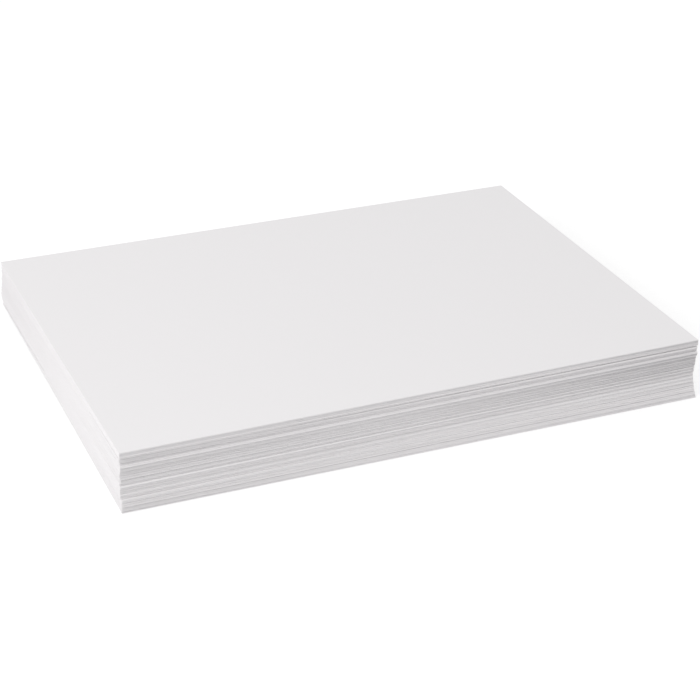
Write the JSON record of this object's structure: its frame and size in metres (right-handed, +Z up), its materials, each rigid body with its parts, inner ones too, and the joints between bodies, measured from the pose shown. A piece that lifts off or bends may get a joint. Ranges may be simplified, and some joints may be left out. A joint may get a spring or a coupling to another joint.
{
  "type": "ream of drawing paper",
  "caption": "Unwrapped ream of large white drawing paper: loose sheets in one low stack, slipped in runs so the sides show ledges and a slight twist.",
  "frame": {"origin": "middle of the ream's outline seen from above, on the surface that it stands on", "axes": "+X along the sheets' long side, +Y across them away from the front long edge, +Z up through the stack"},
  "size_m": [0.4252, 0.3037, 0.0435],
  "materials": {
    "paper": "matte, fine tooth"
  },
  "bodies": {
    "root": {"top_sheet": "paper", "run_01": "paper", "run_02": "paper", "run_03": "paper", "run_04": "paper", "run_05": "paper", "run_06": "paper", "run_07": "paper", "run_08": "paper", "run_09": "paper", "run_10": "paper", "run_11": "paper", "run_12": "paper", "run_13": "paper", "run_14": "paper", "run_15": "paper", "run_16": "paper", "run_17": "paper", "run_18": "paper", "run_19": "paper", "run_20": "paper", "run_21": "paper", "run_22": "paper", "run_23": "paper", "run_24": "paper", "run_25": "paper", "run_26": "paper", "run_27": "paper", "run_28": "paper", "run_29": "paper", "run_30": "paper", "run_31": "paper", "run_32": "paper", "run_33": "paper", "run_34": "paper", "run_35": "paper", "run_36": "paper", "run_37": "paper", "run_38": "paper", "run_39": "paper", "run_40": "paper", "run_41": "paper", "run_42": "paper", "run_43": "paper", "run_44": "paper", "bottom_sheet": "paper"}
  },
  "joints": []
}
